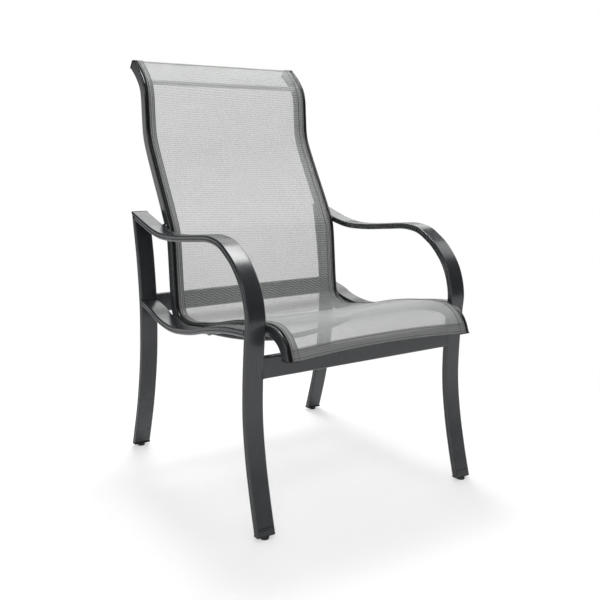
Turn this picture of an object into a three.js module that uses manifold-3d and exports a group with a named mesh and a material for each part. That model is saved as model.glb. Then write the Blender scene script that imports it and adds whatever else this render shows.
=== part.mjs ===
import * as THREE from "three";
import { mergeVertices } from "three/addons/utils/BufferGeometryUtils.js";
import Module from "manifold-3d";

// A high-backed sling patio chair: a frame of bent flat tube, and a sheet of mesh held by its side hems in two
// bent rails. Millimetres, +Z up, the front toward -Y, the origin on the floor under the middle of the chair.

// Layout of the frame
const legSpread = 590; // between the middles of the left and right legs
const footSpacing = 660; // from the middle of a front foot to the middle of the rear one
const footRise = 10; // floor to tube end
const frameRise = 640; // tube end to the corner behind the armrest

// Frame tube
const tubeWide = 47;
const tubeThick = 16;
const tubeEdge = 4.5;
const tubeWall = 2;

// Side seat rails, from front leg to rear leg
const seatFrontHeight = 446;
const seatRearHeight = 422;
const seatDip = 47.5; // lowest point under the straight line between the ends

// Crossbars between the legs
const crossbarTall = 50;
const frontCrossbarDrop = 80; // under the front ends of the side seat rails
const rearCrossbarDrop = 5; // under their rear ends

// Sling rails
const railWide = 30;
const railDeep = 25;
const railEdge = 2;
const railWall = 2;
const railGap = 8.5; // air between a rail and the frame tube beside it
const noseLength = 69; // forward from the front legs' middle to the rails' cut ends
const noseDrop = 50; // down from the front of the seat to the cut ends
const heelDrop = 6; // the rails' lowest point under the side seat rails' lowest
const backReach = 325; // from the lowest point of the rails back to their top ends
const backRise = 676.5;

// Mesh sheet and the rods in its side hems
const clothThick = 1.2;
const rodRadius = 2.5;
const lipReach = 1.6; // overhang of the slot's outer lip over the rod's pocket
const hookReach = 3.5; // the hem's turn under the rod

// Spreader bars
const spreaderRadius = 7;
const topSpreaderHeight = 1004;
const spreaderSetback = 1; // behind the rails' front face
const seatSpreaderDrop = 10; // under the rails' middle line
const seatSpreaderBow = 40;

// Fixings between rails and frame
const spacerRadius = 11;
const boltRadius = 3;
const boltHeadRadius = 6;
const boltHeadHeight = 3.5;
const boltReach = 6; // past the tube's wall
const boltDrop = 2.5; // under the rails' middle line

// End pieces
const capThick = 2;
const capLip = 1.5; // past the rail's sides
const capStem = 10;
const plugFlange = 2;
const plugStem = 16;
const glideRadius = 10;
const glideEdge = 1.5;
const studRadius = 3;
const studHeight = 9;

// Air that touching pieces keep, and how far a piece or cutter runs past a cut
const fitGap = 0.3;
const overrun = 30;

// Steps of the curved surfaces
const routeSteps = 2;
const cornerSteps = 1;
const rodSides = 6;
const barSides = 12;
const bowSteps = 12;
const roundSides = 12;

// Shares of the foot spacing and the frame's rise: front foot, leg, armrest, corner
const armShares = [
  [0, 0],
  [0.029, 0.109],
  [0.058, 0.241],
  [0.076, 0.377],
  [0.077, 0.508],
  [0.067, 0.664],
  [0.062, 0.714],
  [0.068, 0.761],
  [0.083, 0.808],
  [0.108, 0.852],
  [0.158, 0.906],
  [0.197, 0.933],
  [0.25, 0.96],
  [0.326, 0.97],
  [0.439, 0.96],
  [0.583, 0.945],
  [0.709, 0.942],
  [0.8, 0.956],
  [0.856, 0.971],
  [0.957, 1],
];

// Shares of the same two sizes: rear foot up to the same corner
const rearLegShares = [
  [1, 0],
  [0.983, 0.055],
  [0.942, 0.202],
  [0.909, 0.388],
  [0.9, 0.53],
  [0.902, 0.648],
  [0.921, 0.816],
  [0.936, 0.898],
  [0.957, 1],
];

// Shares of the run between the legs and of the seat's dip
const seatShares = [
  [0, 0],
  [0.158, 0.109],
  [0.33, 0.402],
  [0.467, 0.754],
  [0.556, 0.899],
  [0.658, 0.977],
  [0.755, 0.85],
  [0.828, 0.634],
  [0.882, 0.375],
  [1, 0],
];
const railSeatShares = seatShares.slice(1, 5);
const heelShare = 0.694; // of the run between the legs
const heelDipShare = 0.963;

// Shares of the nose's length and drop: cut end up to the front of the seat
const noseShares = [
  [1, 1],
  [0.88, 0.6],
  [0.642, 0.24],
  [0.194, 0],
];

// Shares of the back's reach and rise: heel, small of the back, shoulders, top end
const backShares = [
  [0, 0],
  [0.111, 0.0037],
  [0.191, 0.0155],
  [0.243, 0.042],
  [0.2646, 0.0835],
  [0.3165, 0.3185],
  [0.333, 0.351],
  [0.4154, 0.425],
  [0.7338, 0.691],
  [0.7615, 0.7384],
  [0.7738, 0.799],
  [0.803, 0.9024],
  [0.8985, 0.9616],
  [1, 1],
];

// Where along the side seat rails the sling rails are bolted
const seatFixingShares = { seat_front: 0.121, seat_rear: 0.466 };
const seatSpreaderShare = 0.547;
const boltDomeShares = [
  [0.55, 1],
  [0.85, 0.75],
];

// Places across the chair
const legPlane = legSpread / 2;
const railOuter = legPlane - tubeWide / 2 - railGap;
const railPlane = railOuter - railWide / 2;
const railInner = railOuter - railWide;

const wasm = await Module();
wasm.setup();

// Solids for cutting and joining

function solidOf(geometry) {
  const bare = geometry.clone();
  bare.deleteAttribute("normal");
  bare.deleteAttribute("uv");
  const merged = mergeVertices(bare);
  return new wasm.Manifold(
    new wasm.Mesh({
      numProp: 3,
      vertProperties: new Float32Array(merged.attributes.position.array),
      triVerts: new Uint32Array(merged.index.array),
    }),
  );
}

function geometryOf(solid) {
  const mesh = solid.getMesh();
  const geometry = new THREE.BufferGeometry();
  geometry.setAttribute("position", new THREE.BufferAttribute(mesh.vertProperties, mesh.numProp));
  geometry.setIndex(new THREE.BufferAttribute(mesh.triVerts, 1));
  const faceted = geometry.toNonIndexed();
  faceted.computeVertexNormals();
  return faceted;
}

function cut(geometry, cutters) {
  const whole = solidOf(geometry);
  return geometryOf(cutters.reduce((rest, cutter) => rest.subtract(solidOf(cutter)), whole));
}

function common(a, b) {
  return geometryOf(solidOf(a).intersect(solidOf(b)));
}

function joined(a, b) {
  return geometryOf(solidOf(a).add(solidOf(b)));
}

// Routes in the side plane

// A smooth route through its points, with the same number of steps between any two neighbours.
class Route extends THREE.CatmullRomCurve3 {
  constructor(points) {
    super(points, false, "centripetal");
  }

  getUtoTmapping(u) {
    return u;
  }

  // The direction square to the route in the side plane: up on the way back, forward on the way up.
  faceAt(t) {
    const along = this.getTangent(t);
    return new THREE.Vector3(0, -along.z, along.y);
  }

  offsetPoint(t, distance) {
    return this.getPoint(t).addScaledVector(this.faceAt(t), distance);
  }
}

function sidePoint(y, z) {
  return new THREE.Vector3(0, y, z);
}

// The point past an end of a route, straight on from its neighbour.
function beyond(end, neighbour) {
  const along = end.clone().sub(neighbour).normalize();
  return end.clone().addScaledVector(along, overrun);
}

function runningPast(points) {
  const [first, second] = points;
  const [last, previous] = points.slice(-2).reverse();
  return [beyond(first, second), ...points, beyond(last, previous)];
}

function samples(route) {
  const count = 1000;
  return Array.from({ length: count + 1 }, (_, i) => i / count);
}

function parameterNear(route, point) {
  const distance = (t) => route.getPoint(t).distanceTo(point);
  return samples(route).reduce((best, t) => (distance(t) < distance(best) ? t : best));
}

function pointAtHeight(route, height) {
  const error = (t) => Math.abs(route.getPoint(t).z - height);
  return route.getPoint(samples(route).reduce((best, t) => (error(t) < error(best) ? t : best)));
}

const framePoint = ([y, z]) => sidePoint(y * footSpacing, footRise + z * frameRise);
const armPoints = armShares.map(framePoint);
const rearLegPoints = rearLegShares.map(framePoint);
const armRoute = new Route(runningPast(armPoints));
const rearLegRoute = new Route(runningPast(rearLegPoints));

// The front leg is the part of the arm's tube below the armrest, so only its points are searched.
const frontLegRoute = new Route(armPoints.slice(0, 9));
const seatFront = pointAtHeight(frontLegRoute, seatFrontHeight);
const seatRear = pointAtHeight(new Route(rearLegPoints), seatRearHeight);

function seatPoint([along, dip]) {
  const point = seatFront.clone().lerp(seatRear, along);
  point.z -= dip * seatDip;
  return point;
}
const seatRoute = new Route(seatShares.map(seatPoint));

function railPoints() {
  const nose = noseShares.map(([y, z]) =>
    sidePoint(seatFront.y - y * noseLength, seatFront.z - z * noseDrop),
  );
  const seat = railSeatShares.map(seatPoint);
  const heel = seatPoint([heelShare, heelDipShare]);
  const back = backShares.map(([y, z]) =>
    sidePoint(heel.y + y * backReach, heel.z - heelDrop + z * backRise),
  );
  return [...nose, ...seat, ...back];
}
const slingPoints = railPoints();
const railRoute = new Route(runningPast(slingPoints));
const backRoute = new Route(slingPoints.slice(-backShares.length));

// The ends that the tubes and rails are cut off at, each with the direction that points off the piece

const down = new THREE.Vector3(0, 0, -1);
const frontFootEnd = { point: armPoints[0], out: down };
const rearFootEnd = { point: rearLegPoints[0], out: down };
const noseEnd = { point: slingPoints[0], out: down };
const crownEnd = {
  point: slingPoints.at(-1),
  out: slingPoints.at(-1).clone().sub(slingPoints.at(-2)).normalize(),
};

// The arm and the rear leg meet on the plane that halves the angle between them.
function mitre() {
  const point = armPoints.at(-1);
  const alongArm = point.clone().sub(armPoints.at(-2)).normalize();
  const alongLeg = point.clone().sub(rearLegPoints.at(-2)).normalize();
  const out = alongArm.sub(alongLeg).normalize();
  return { point, out };
}
const armEnd = mitre();
const rearLegEnd = { point: armEnd.point, out: armEnd.out.clone().negate() };

// A block across an end, from one distance past the end to another.
function slab(end, from, to) {
  const across = legSpread + tubeWide;
  const block = new THREE.BoxGeometry(across, tubeWide * 3, to - from);
  block.translate(0, 0, (from + to) / 2);
  const turn = new THREE.Quaternion().setFromUnitVectors(new THREE.Vector3(0, 0, 1), end.out);
  block.applyQuaternion(turn);
  return block.translate(end.point.x, end.point.y, end.point.z);
}

const cutOff = (end) => slab(end, 0, overrun * 3);
const mitreOff = (end) => slab(end, -fitGap / 2, overrun * 3);

// Sections. X runs across the tube, and Y toward the face that faceAt gives.

function tubeOutline(wide, thick, edge) {
  const outline = new THREE.Shape();
  const [x, y] = [wide / 2 - edge, thick / 2 - edge];
  outline.absarc(x, -y, edge, -Math.PI / 2, 0);
  outline.absarc(x, y, edge, 0, Math.PI / 2);
  outline.absarc(-x, y, edge, Math.PI / 2, Math.PI);
  outline.absarc(-x, -y, edge, Math.PI, Math.PI * 1.5);
  return outline;
}

function centredBox(wide, thick) {
  return [
    new THREE.Vector2(-wide / 2, -thick / 2),
    new THREE.Vector2(wide / 2, -thick / 2),
    new THREE.Vector2(wide / 2, thick / 2),
    new THREE.Vector2(-wide / 2, thick / 2),
  ];
}

function tubeBoreOutline(wide, thick, clearance) {
  const loss = (tubeWall + clearance) * 2;
  return new THREE.Shape(centredBox(wide - loss, thick - loss));
}

function circle(radius) {
  return new THREE.Shape().absarc(0, 0, radius, 0, Math.PI * 2);
}

// A shape from points whose first number runs outward from the middle of the chair.
function sidedShape(points, side) {
  const turned = points.map(([outward, depth]) => new THREE.Vector2(-side * outward, depth));
  return new THREE.Shape(turned);
}

// The slot's pocket holds the rod, and the hem between the rod and the pocket's wall.
const pocketHalf = rodRadius + clothThick + fitGap * 2;
const pocketOuter = railWide / 2 - railWall;
const pocketInner = pocketOuter - pocketHalf * 2;
const rodPlace = pocketOuter - pocketHalf;
const railFront = railDeep / 2;
const pocketTop = railFront - railWall;
const pocketFloor = pocketTop - pocketHalf * 2;
const rodDepth = pocketTop - pocketHalf;

// The rail's outline without its slot, larger all round by the growth.
function railPlainPoints(growth) {
  const half = railWide / 2 + growth;
  const front = railFront + growth;
  return [
    [half - railEdge, front],
    [half, front - railEdge],
    [half, railEdge - front],
    [half - railEdge, -front],
    [-half, -front],
    [-half, front],
  ];
}

const slotPoints = [
  [pocketInner, railFront],
  [pocketInner, pocketFloor],
  [pocketOuter, pocketFloor],
  [pocketOuter, pocketTop],
  [pocketOuter - lipReach, pocketTop],
  [pocketOuter - lipReach, railFront],
];

// The hollow beside the slot, less a clearance when a cap's stem goes in.
function railHollow(side, clearance) {
  const left = -railWide / 2 + railWall + clearance;
  const right = pocketInner - railWall - clearance;
  const half = railDeep / 2 - railWall - clearance;
  const corners = [
    [left, -half],
    [right, -half],
    [right, half],
    [left, half],
  ];
  return sidedShape(corners, side);
}

// The sheet lies on the rails' front faces, and its hems turn down through the slots and under the rods.
function clothSection() {
  const top = railFront + fitGap + clothThick;
  const under = railFront + fitGap;
  const turn = railPlane + pocketInner + fitGap;
  const floor = pocketFloor + fitGap;
  const edge = [
    [turn + clothThick, top],
    [turn + clothThick, floor + clothThick],
    [turn + clothThick + hookReach, floor + clothThick],
    [turn + clothThick + hookReach, floor],
    [turn, floor],
    [turn, under],
  ];
  const far = edge.map(([x, y]) => new THREE.Vector2(-x, y)).reverse();
  return new THREE.Shape([...edge.map(([x, y]) => new THREE.Vector2(x, y)), ...far]);
}

function sweep(section, route, curveSegments = cornerSteps) {
  const steps = (route.points.length - 1) * routeSteps;
  return new THREE.ExtrudeGeometry(section, { steps, extrudePath: route, curveSegments });
}

// A bore along X at a point of the side plane.
function bore(point, radius, from, to) {
  const drill = new THREE.CylinderGeometry(radius, radius, Math.abs(to - from), roundSides);
  drill.rotateZ(Math.PI / 2);
  return drill.translate((from + to) / 2, point.y, point.z);
}

// The places of the bolts, on the line under the middle of the sling rails

function armFixing() {
  const armSamples = samples(armRoute).map((t) => armRoute.getPoint(t));
  const miss = (t) => {
    const point = backRoute.offsetPoint(t, -boltDrop);
    return Math.min(...armSamples.map((sample) => sample.distanceTo(point)));
  };
  const scored = samples(backRoute).map((t) => [miss(t), t]);
  const [, t] = scored.reduce((best, entry) => (entry[0] < best[0] ? entry : best));
  return backRoute.offsetPoint(t, -boltDrop);
}

function seatFixing(share) {
  const beside = seatRoute.getPoint(parameterAlong(share));
  return railRoute.offsetPoint(parameterNear(railRoute, beside), -boltDrop);
}

// The parameter where the side seat rail has come this share of the way from front leg to rear leg.
function parameterAlong(share) {
  const y = THREE.MathUtils.lerp(seatFront.y, seatRear.y, share);
  const error = (t) => Math.abs(seatRoute.getPoint(t).y - y);
  return samples(seatRoute).reduce((best, t) => (error(t) < error(best) ? t : best));
}

const fixings = { arm: armFixing() };
for (const [name, share] of Object.entries(seatFixingShares)) fixings[name] = seatFixing(share);

// Bolt holes through one wall of a frame tube that stands at the leg plane.
function tubeBores(names, side) {
  const inner = -side * (tubeWide / 2 + overrun);
  return names.map((name) => bore(fixings[name], boltRadius + fitGap, inner, 0));
}

// Materials

function powderCoat() {
  return new THREE.MeshStandardMaterial({ color: 0x3d4043, roughness: 0.42, metalness: 0.35 });
}

function blackPlastic() {
  return new THREE.MeshStandardMaterial({ color: 0x141414, roughness: 0.6, metalness: 0 });
}

function wovenMesh() {
  return new THREE.MeshStandardMaterial({ color: 0xb9bab2, roughness: 0.85, metalness: 0 });
}

function hemRod() {
  return new THREE.MeshStandardMaterial({ color: 0x2a2a2a, roughness: 0.7, metalness: 0 });
}

function boltSteel() {
  return new THREE.MeshStandardMaterial({ color: 0x55585a, roughness: 0.35, metalness: 0.8 });
}

const chair = new THREE.Group();

function place(name, geometry, material, x = 0) {
  const mesh = new THREE.Mesh(geometry, material);
  mesh.name = name;
  mesh.position.x = x;
  chair.add(mesh);
  return mesh;
}

// Frame

function frameTube(route, cutters) {
  const tube = sweep(tubeOutline(tubeWide, tubeThick, tubeEdge), route);
  return cut(tube, [sweep(tubeBoreOutline(tubeWide, tubeThick, 0), route), ...cutters]);
}

function armFrontLeg(side) {
  const ends = [cutOff(frontFootEnd), mitreOff(armEnd)];
  return frameTube(armRoute, [...ends, ...tubeBores(["arm"], side)]);
}

function rearLeg() {
  return frameTube(rearLegRoute, [cutOff(rearFootEnd), mitreOff(rearLegEnd)]);
}

// The ends are coped to the legs that they meet.
function sideSeatRail(side) {
  const cope = tubeOutline(tubeWide + overrun, tubeThick + fitGap * 2, tubeEdge);
  const legs = [sweep(cope, armRoute), sweep(cope, rearLegRoute)];
  return frameTube(seatRoute, [...legs, ...tubeBores(Object.keys(seatFixingShares), side)]);
}

function straight(outline, length) {
  const bar = new THREE.ExtrudeGeometry(outline, {
    depth: length,
    curveSegments: cornerSteps,
    bevelEnabled: false,
  });
  return bar.translate(0, 0, -length / 2);
}

function crossbar() {
  const length = (legPlane - tubeWide / 2 - fitGap) * 2;
  const bar = straight(tubeOutline(crossbarTall, tubeThick, tubeEdge), length);
  const hollow = straight(tubeBoreOutline(crossbarTall, tubeThick, 0), length + overrun);
  return cut(bar, [hollow]).rotateY(Math.PI / 2);
}

function placeCrossbar(name, route, height) {
  const bar = place(name, crossbar(), powderCoat());
  bar.position.y = pointAtHeight(route, height).y;
  bar.position.z = height;
}

// Sling

function slingRail(side) {
  const rail = sweep(sidedShape([...railPlainPoints(0), ...slotPoints], side), railRoute);
  const hollow = sweep(railHollow(side, 0), railRoute);
  const through = railWide / 2 + overrun;
  const holes = Object.values(fixings).map((point) =>
    bore(point, boltRadius + fitGap, -through, through),
  );
  return cut(rail, [hollow, cutOff(noseEnd), cutOff(crownEnd), ...holes]);
}

function splineRod(side) {
  const centre = new THREE.Vector2(-side * rodPlace, rodDepth);
  const outline = Array.from({ length: rodSides }, (_, i) => {
    const angle = (i / rodSides) * Math.PI * 2;
    const spoke = new THREE.Vector2(Math.cos(angle), Math.sin(angle));
    return spoke.multiplyScalar(rodRadius).add(centre);
  });
  return cut(sweep(new THREE.Shape(outline), railRoute), [cutOff(noseEnd), cutOff(crownEnd)]);
}

function sling() {
  return cut(sweep(clothSection(), railRoute), [cutOff(noseEnd), cutOff(crownEnd)]);
}

// A flange across a tube's end, with a stem up its bore.
function endPiece(end, route, outline, stemOutline, flange, stem) {
  const plate = common(sweep(outline, route), slab(end, fitGap, fitGap + flange));
  const core = common(sweep(stemOutline, route), slab(end, -stem, fitGap + flange / 2));
  return joined(plate, core);
}

function railCap(end, side) {
  const outline = sidedShape(railPlainPoints(capLip), side);
  return endPiece(end, railRoute, outline, railHollow(side, fitGap), capThick, capStem);
}

function footPlug(end, route) {
  const stemOutline = tubeBoreOutline(tubeWide, tubeThick, fitGap);
  const outline = tubeOutline(tubeWide, tubeThick, tubeEdge);
  const plug = endPiece(end, route, outline, stemOutline, plugFlange, plugStem);
  const hole = new THREE.CylinderGeometry(
    studRadius + fitGap,
    studRadius + fitGap,
    (studHeight + fitGap) * 2,
    roundSides,
  );
  hole.rotateX(Math.PI / 2);
  hole.translate(0, end.point.y, footRise - fitGap - plugFlange);
  return cut(plug, [hole]);
}

function glide() {
  const top = footRise - fitGap * 2 - plugFlange;
  const profile = [
    [0, 0],
    [glideRadius - glideEdge, 0],
    [glideRadius, glideEdge],
    [glideRadius, top],
    [studRadius, top],
    [studRadius, top + studHeight],
    [0, top + studHeight],
  ];
  const turned = new THREE.LatheGeometry(
    profile.map(([r, z]) => new THREE.Vector2(r, z)),
    roundSides,
  );
  return turned.rotateX(Math.PI / 2);
}

function topSpreader() {
  const length = (railInner - fitGap) * 2;
  const bar = new THREE.CylinderGeometry(spreaderRadius, spreaderRadius, length, barSides);
  return bar.rotateZ(Math.PI / 2);
}

function placeTopSpreader() {
  const beside = pointAtHeight(backRoute, topSpreaderHeight);
  const t = parameterNear(backRoute, beside);
  const point = backRoute.offsetPoint(t, railFront - spreaderSetback - spreaderRadius);
  const bar = place("top_spreader_bar", topSpreader(), powderCoat());
  bar.position.copy(point);
}

// The bar under the seat bows down between the rails, and its ends are cut square to the rails' inner faces.
function seatSpreader() {
  const beside = seatRoute.getPoint(parameterAlong(seatSpreaderShare));
  const end = railRoute.offsetPoint(parameterNear(railRoute, beside), -seatSpreaderDrop);
  const reach = railInner + overrun;
  const lift = seatSpreaderBow * ((reach / railInner) ** 2 - 1);
  const tip = end.z + lift;
  const bow = new THREE.QuadraticBezierCurve3(
    new THREE.Vector3(-reach, end.y, tip),
    new THREE.Vector3(0, end.y, tip - (seatSpreaderBow + lift) * 2),
    new THREE.Vector3(reach, end.y, tip),
  );
  const bar = new THREE.ExtrudeGeometry(circle(spreaderRadius), {
    steps: bowSteps,
    extrudePath: bow,
    curveSegments: barSides / 2,
  });
  const ends = [-1, 1].map((side) => {
    const out = new THREE.Vector3(side, 0, 0);
    const point = new THREE.Vector3(side * (railInner - fitGap), end.y, end.z);
    return slab({ point, out }, 0, overrun * 3);
  });
  return cut(bar, ends);
}

// Fixings

function spacer() {
  const half = railGap / 2 - fitGap;
  const hole = boltRadius + fitGap;
  const profile = [
    [hole, -half],
    [spacerRadius, -half],
    [spacerRadius, half],
    [hole, half],
    [hole, -half],
  ];
  const ring = new THREE.LatheGeometry(
    profile.map(([r, z]) => new THREE.Vector2(r, z)),
    roundSides,
  );
  return ring.rotateZ(Math.PI / 2);
}

// The bolt points outward: its head is on the rail's inner face and its tip is inside the frame tube.
function bolt(side) {
  const length = fitGap + railWide + railGap + tubeWall + boltReach;
  const dome = boltDomeShares.map(([r, z]) => [r * boltHeadRadius, -z * boltHeadHeight]);
  const profile = [
    [0, -boltHeadHeight],
    ...dome,
    [boltHeadRadius, 0],
    [boltRadius, 0],
    [boltRadius, length],
    [0, length],
  ];
  const turned = new THREE.LatheGeometry(
    profile.map(([r, z]) => new THREE.Vector2(r, z)),
    roundSides,
  );
  return turned.rotateZ((-side * Math.PI) / 2);
}

function placeFixings(side, hand) {
  for (const [name, point] of Object.entries(fixings)) {
    const ring = place("rail_spacer_" + name + "_" + hand, spacer(), blackPlastic());
    ring.position.set(side * (railOuter + railGap / 2), point.y, point.z);
    const screw = place("rail_bolt_" + name + "_" + hand, bolt(side), boltSteel());
    screw.position.set(side * (railInner - fitGap), point.y, point.z);
  }
}

function placeFoot(name, hand, side, end, route) {
  place("foot_plug_" + name + "_" + hand, footPlug(end, route), blackPlastic(), side * legPlane);
  const pad = place("glide_" + name + "_" + hand, glide(), blackPlastic(), side * legPlane);
  pad.position.y = end.point.y;
}

for (const [side, hand] of [
  [1, "left"],
  [-1, "right"],
]) {
  place("arm_front_leg_" + hand, armFrontLeg(side), powderCoat(), side * legPlane);
  place("rear_leg_" + hand, rearLeg(), powderCoat(), side * legPlane);
  place("side_seat_rail_" + hand, sideSeatRail(side), powderCoat(), side * legPlane);
  place("sling_rail_" + hand, slingRail(side), powderCoat(), side * railPlane);
  place("spline_rod_" + hand, splineRod(side), hemRod(), side * railPlane);
  place("rail_end_cap_top_" + hand, railCap(crownEnd, side), blackPlastic(), side * railPlane);
  place("rail_end_cap_front_" + hand, railCap(noseEnd, side), blackPlastic(), side * railPlane);
  placeFixings(side, hand);
  placeFoot("front", hand, side, frontFootEnd, armRoute);
  placeFoot("rear", hand, side, rearFootEnd, rearLegRoute);
}
placeCrossbar("front_crossbar", frontLegRoute, seatFrontHeight - frontCrossbarDrop);
placeCrossbar("rear_crossbar", rearLegRoute, seatRearHeight - rearCrossbarDrop);
place("sling", sling(), wovenMesh());
placeTopSpreader();
place("seat_spreader_bar", seatSpreader(), powderCoat());

// The origin comes under the middle of the whole chair.
const extent = new THREE.Box3().setFromObject(chair);
chair.position.y = -(extent.min.y + extent.max.y) / 2;

export default chair;
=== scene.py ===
from math import cos, hypot, pi, radians, sin, sqrt

import bmesh
import bpy
from bmesh.types import BMEdge, BMFace, BMVert
from mathutils import Matrix, Vector


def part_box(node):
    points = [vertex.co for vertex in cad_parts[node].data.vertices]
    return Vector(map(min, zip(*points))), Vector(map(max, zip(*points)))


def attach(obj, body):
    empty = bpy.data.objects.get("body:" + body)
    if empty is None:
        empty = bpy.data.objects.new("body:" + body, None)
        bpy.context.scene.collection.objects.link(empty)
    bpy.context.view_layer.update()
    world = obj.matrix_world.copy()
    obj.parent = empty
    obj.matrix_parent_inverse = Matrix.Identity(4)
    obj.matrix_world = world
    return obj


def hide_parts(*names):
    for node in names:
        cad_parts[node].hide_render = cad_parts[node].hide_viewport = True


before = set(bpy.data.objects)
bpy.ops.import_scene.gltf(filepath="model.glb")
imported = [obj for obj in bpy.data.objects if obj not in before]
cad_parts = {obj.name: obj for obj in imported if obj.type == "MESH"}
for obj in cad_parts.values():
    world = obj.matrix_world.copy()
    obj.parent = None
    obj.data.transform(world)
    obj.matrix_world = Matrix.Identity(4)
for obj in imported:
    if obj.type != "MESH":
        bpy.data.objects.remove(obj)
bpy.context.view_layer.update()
mm = 0.001
print("frame loaded,", len(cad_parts), "nodes")


def linked(name, data):
    holder = bpy.data.objects.new(name, data)
    bpy.context.scene.collection.objects.link(holder)
    return holder


def standing(place, x, y, z):  # a matrix from a place and three axes
    return Matrix.Translation(place) @ Matrix((x, y, z)).transposed().to_4x4()


def facing(place, direction):  # a matrix that turns +Z to a direction
    turn = Vector((0, 0, 1)).rotation_difference(direction)
    return Matrix.Translation(place) @ turn.to_matrix().to_4x4()


# Camera, at the photograph's place and tilt
camera = {
    "place": (-1.1789, -1.7791, 0.8504),
    "heading": 34.02,  # degrees from +Y toward +X
    "pitchDown": 8.386, "roll": -0.509, "focalPixels": 821.35, "principalPixels": (295.58, 262.55),
    "imagePixels": 600, "sensorWidth": 36.0,
}


def aimCamera(spec):
    heading, pitch, roll = (radians(spec[k]) for k in ("heading", "pitchDown", "roll"))
    forward = Vector((sin(heading) * cos(pitch), cos(heading) * cos(pitch), -sin(pitch)))
    right = Vector((cos(heading), -sin(heading), 0))
    across = right * cos(roll) + forward.cross(right) * sin(roll)
    lens = bpy.data.cameras.new("photoCamera")
    size = spec["imagePixels"]
    lens.sensor_width = spec["sensorWidth"]
    lens.lens = spec["focalPixels"] / size * spec["sensorWidth"]
    lens.shift_x = 0.5 - spec["principalPixels"][0] / size
    lens.shift_y = spec["principalPixels"][1] / size - 0.5
    holder = linked("photoCamera", lens)
    holder.matrix_world = standing(spec["place"], across, across.cross(forward), -forward)
    bpy.context.scene.camera = holder


aimCamera(camera)

# Sizes that the pieces share, in millimetres, as in the part
chair = {
    "legSpread": 590, "footSpacing": 660, "footRise": 10, "frameRise": 640, "tubeWide": 47,
    "tubeThick": 16, "seatFrontHeight": 446, "seatRearHeight": 422, "seatDip": 47.5, "railWide": 30,
    "railDeep": 25, "railGap": 8.5, "noseLength": 69, "noseDrop": 50, "heelDrop": 6,
    "backReach": 325, "backRise": 676.5, "fitGap": 0.3,
}
legPlane = chair["legSpread"] / 2
railOuter = legPlane - chair["tubeWide"] / 2 - chair["railGap"]
railPlane = railOuter - chair["railWide"] / 2
railInner = railOuter - chair["railWide"]
hands = {1: "left", -1: "right"}


def nodeBox(node):  # a CAD node's two corners and its middle, in millimetres
    low, high = (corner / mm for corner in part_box(node))
    return low, high, (low + high) / 2


frontFootY = sum(corner.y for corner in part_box("glide_front_left")) / 2 / mm

# Shares of the foot spacing and of the frame's rise
armShares = [
    (0, 0), (0.029, 0.109), (0.058, 0.241), (0.076, 0.377), (0.077, 0.508), (0.067, 0.664),
    (0.062, 0.714), (0.068, 0.761), (0.083, 0.808), (0.108, 0.852), (0.158, 0.906),
    (0.197, 0.933), (0.25, 0.96), (0.326, 0.97), (0.439, 0.96), (0.583, 0.945),
    (0.709, 0.942), (0.8, 0.956), (0.856, 0.971), (0.957, 1),
]
rearLegShares = [
    (1, 0), (0.983, 0.055), (0.942, 0.202), (0.909, 0.388), (0.9, 0.53),
    (0.902, 0.648), (0.921, 0.816), (0.936, 0.898), (0.957, 1),
]
legTop, legBend = 8, 10  # entries of armShares past which the front leg has turned into the arm
# Shares of the run between the legs and of the seat's dip
seatShares = [
    (0, 0), (0.158, 0.109), (0.33, 0.402), (0.467, 0.754), (0.556, 0.899),
    (0.658, 0.977), (0.755, 0.85), (0.828, 0.634), (0.882, 0.375), (1, 0),
]
slingSeatShares = seatShares[1:5]  # where the sling's rail runs along the seat's rail
heelShares = (0.694, 0.963)
noseShares = [(1, 1), (0.88, 0.6), (0.642, 0.24), (0.194, 0)]
backShares = [
    (0, 0), (0.111, 0.0037), (0.191, 0.0155), (0.243, 0.042), (0.2646, 0.0835),
    (0.3165, 0.3185), (0.333, 0.351), (0.4154, 0.425), (0.7338, 0.691), (0.7615, 0.7384),
    (0.7738, 0.799), (0.803, 0.9024), (0.8985, 0.9616), (1, 1),
]

# Routes: a route is a list of stations along a bent tube, each with its place, direction and face direction
routing = {"sample": 2.0, "easing": 10, "station": 4.0, "overrun": 30.0, "trimReach": 55.0, "tries": 400}


def sidePoint(y, z):
    return Vector((0, y, z))


def spanPoint(p0, p1, p2, p3, t):
    gaps = [sqrt((b - a).length) for a, b in ((p0, p1), (p1, p2), (p2, p3))]
    leave = ((p1 - p0) / gaps[0] - (p2 - p0) / (gaps[0] + gaps[1]) + (p2 - p1) / gaps[1]) * gaps[1]
    arrive = ((p2 - p1) / gaps[1] - (p3 - p1) / (gaps[1] + gaps[2]) + (p3 - p2) / gaps[2]) * gaps[1]
    cubic = 2 * p1 - 2 * p2 + leave + arrive
    square = 3 * p2 - 3 * p1 - 2 * leave - arrive
    return p1 + (leave + (square + cubic * t) * t) * t


def finePath(points):
    ends = [2 * points[0] - points[1], *points, 2 * points[-1] - points[-2]]
    fine = [points[0]]
    for p0, p1, p2, p3 in zip(ends, ends[1:], ends[2:], ends[3:]):
        steps = max(2, round((p2 - p1).length / routing["sample"]))
        fine += [spanPoint(p0, p1, p2, p3, (i + 1) / steps) for i in range(steps)]
    return fine


def evenPath(path, gap):
    lengths = [0.0]
    for a, b in zip(path, path[1:]):
        lengths.append(lengths[-1] + (b - a).length)
    count = max(2, round(lengths[-1] / gap))
    made, j = [], 0
    for i in range(count + 1):
        want = lengths[-1] * i / count
        while j < len(path) - 2 and lengths[j + 1] < want:
            j += 1
        share = (want - lengths[j]) / (lengths[j + 1] - lengths[j])
        made.append(path[j].lerp(path[j + 1], share))
    return made


def easedPath(path, rounds):
    for _ in range(rounds):
        middle = [(a + 2 * b + c) / 4 for a, b, c in zip(path, path[1:], path[2:])]
        path = [path[0], *middle, path[-1]]
    return path


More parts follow.
